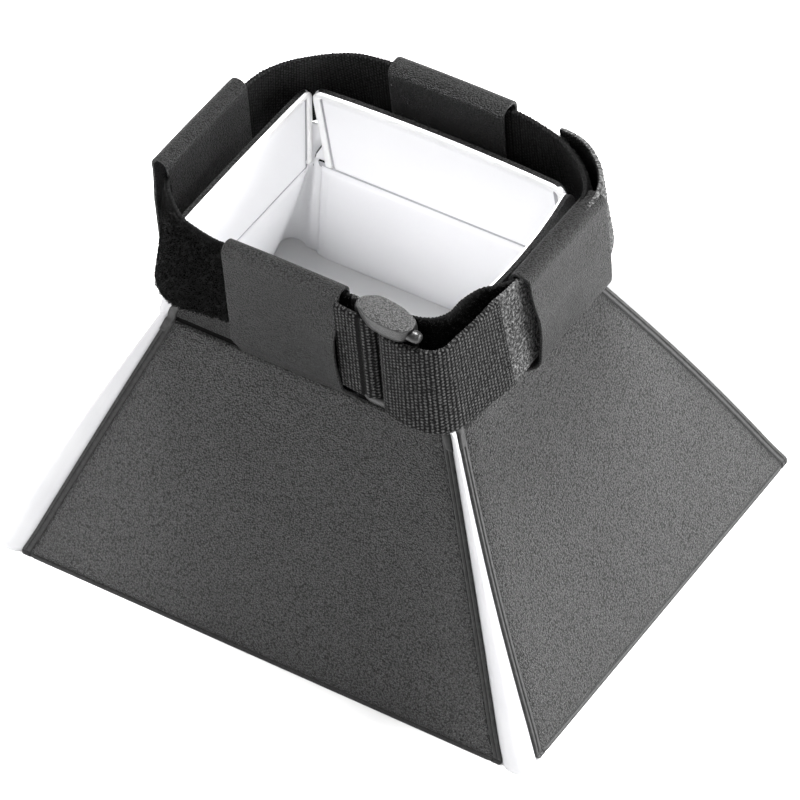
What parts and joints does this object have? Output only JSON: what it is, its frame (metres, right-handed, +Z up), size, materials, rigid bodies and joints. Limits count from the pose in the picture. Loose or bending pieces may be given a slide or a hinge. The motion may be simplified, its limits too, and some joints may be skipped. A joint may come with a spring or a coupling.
{
  "type": "flash hood",
  "caption": "Collapsible flash hood of slanted leatherette panels with a white lining, a collar of upright flaps, belt loops and a hook-and-loop strap with a plastic ring.",
  "frame": {"origin": "middle of the wide end's rim, on the surface that the hood stands on", "axes": "+Z up the hood towards the neck, +X along the long side, +Y towards the back long side; the strap's ring is at the front, -Y, near the right end"},
  "size_m": [0.15, 0.123, 0.1072],
  "materials": {
    "leatherette": "fine grained black synthetic leather, semi matte",
    "stiffener_board": "plain stiff sheet, hidden between cover and lining",
    "white_lining": "smooth white reflective synthetic leather",
    "white_binding": "folded white edge binding",
    "crease_tape": "dark grey sewn crease",
    "white_gusset": "thin white flexible strip, slightly translucent",
    "loop_tape": "black hook-and-loop tape, fuzzy pile outside and ribbed back inside",
    "ribbed_webbing": "black tape back with fine upright ribs",
    "hook_tape": "coarse black hook tape",
    "ring_plastic": "dark grey moulded plastic with a fine spark texture"
  },
  "bodies": {
    "panel_front": {"cover_front": "leatherette", "board_front": "stiffener_board", "lining_front": "white_lining", "hinge_strip_front": "crease_tape", "belt_loop_front": "leatherette", "gusset_front": "white_gusset", "gusset_left": "white_gusset", "strap_front_run": "loop_tape", "strap_anchor_fold": "ribbed_webbing", "strap_left_corner": "loop_tape", "strap_front_corner": "loop_tape", "strap_tail": "ribbed_webbing"},
    "panel_right": {"cover_right": "leatherette", "board_right": "stiffener_board", "lining_right": "white_lining", "hinge_strip_right": "crease_tape", "belt_loop_right": "leatherette", "flap_cover_right": "leatherette", "flap_board_right": "stiffener_board", "flap_lining_right": "white_lining", "flap_binding_right": "white_binding", "strap_right_run": "loop_tape", "hook_pad": "hook_tape"},
    "panel_left": {"cover_left": "leatherette", "board_left": "stiffener_board", "lining_left": "white_lining", "hinge_strip_left": "crease_tape", "belt_loop_left": "leatherette", "flap_cover_left": "leatherette", "flap_board_left": "stiffener_board", "flap_lining_left": "white_lining", "flap_binding_left": "white_binding", "gusset_back": "white_gusset", "strap_left_run": "loop_tape", "strap_back_corner": "loop_tape"},
    "panel_back": {"cover_back": "leatherette", "board_back": "stiffener_board", "lining_back": "white_lining", "hinge_strip_back": "crease_tape", "belt_loop_back": "leatherette"},
    "strap_back": {"gusset_right": "white_gusset", "strap_right_corner": "loop_tape", "strap_back_run": "loop_tape"},
    "flap_front": {"flap_cover_front": "leatherette", "flap_board_front": "stiffener_board", "flap_lining_front": "white_lining", "flap_binding_front": "white_binding"},
    "flap_back": {"flap_cover_back": "leatherette", "flap_board_back": "stiffener_board", "flap_lining_back": "white_lining", "flap_binding_back": "white_binding"},
    "slide_ring": {"slide_ring": "ring_plastic"},
    "strap_tip": {"strap_tip": "loop_tape"}
  },
  "joints": [
    {"name": "fold", "type": "hinge", "parent": "panel_front", "child": "panel_right", "pos_m": [0.07438, -0.05722, 0], "axis": [0.4351, -0.3347, -0.8359], "range_deg": [0, 35], "deforming": ["gusset_front", "strap_front_corner", "strap_tail"]},
    {"name": "left_corner", "type": "hinge", "parent": "panel_front", "child": "panel_left", "pos_m": [-0.07438, -0.05722, 0], "axis": [-0.4351, -0.3347, -0.8359], "range_deg": [0, 37.8], "deforming": ["gusset_left", "strap_left_corner"]},
    {"name": "back_corner", "type": "hinge", "parent": "panel_left", "child": "panel_back", "pos_m": [-0.07438, 0.05722, 0], "axis": [0.4351, -0.3347, 0.8359], "range_deg": [0, 35], "deforming": ["gusset_back", "strap_back_corner"]},
    {"name": "right_corner", "type": "hinge", "parent": "panel_right", "child": "strap_back", "pos_m": [0.07438, 0.05722, 0], "axis": [-0.4351, -0.3347, 0.8359], "range_deg": [0, 37.8], "deforming": ["gusset_right", "strap_right_corner"]},
    {"name": "front_flap_lean", "type": "hinge", "parent": "panel_front", "child": "flap_front", "pos_m": [0, -0.03, 0.0671], "axis": [-1, 0, 0], "range_deg": [0, 19.25], "deforming": ["hinge_strip_front"]},
    {"name": "back_flap_lean", "type": "hinge", "parent": "panel_back", "child": "flap_back", "pos_m": [0, 0.03, 0.0671], "axis": [1, 0, 0], "range_deg": [0, 19.25], "deforming": ["hinge_strip_back"]},
    {"name": "ring_swivel", "type": "hinge", "parent": "panel_front", "child": "slide_ring", "pos_m": [0.0208, -0.0346, 0.0885], "axis": [0, 0, 1], "range_deg": [-5, 3]},
    {"name": "tip_peel", "type": "hinge", "parent": "panel_right", "child": "strap_tip", "pos_m": [0.04425, 0.0248, 0.0885], "axis": [0, 0, -1], "range_deg": [0, 50]}
  ],
  "couplings": [
    {"joint": "left_corner", "follows": "fold", "ratio": 1.08},
    {"joint": "back_corner", "follows": "fold", "ratio": 0.998},
    {"joint": "right_corner", "follows": "fold", "ratio": 1.078},
    {"joint": "front_flap_lean", "follows": "fold", "ratio": 0.55},
    {"joint": "back_flap_lean", "follows": "fold", "ratio": 0.55}
  ]
}
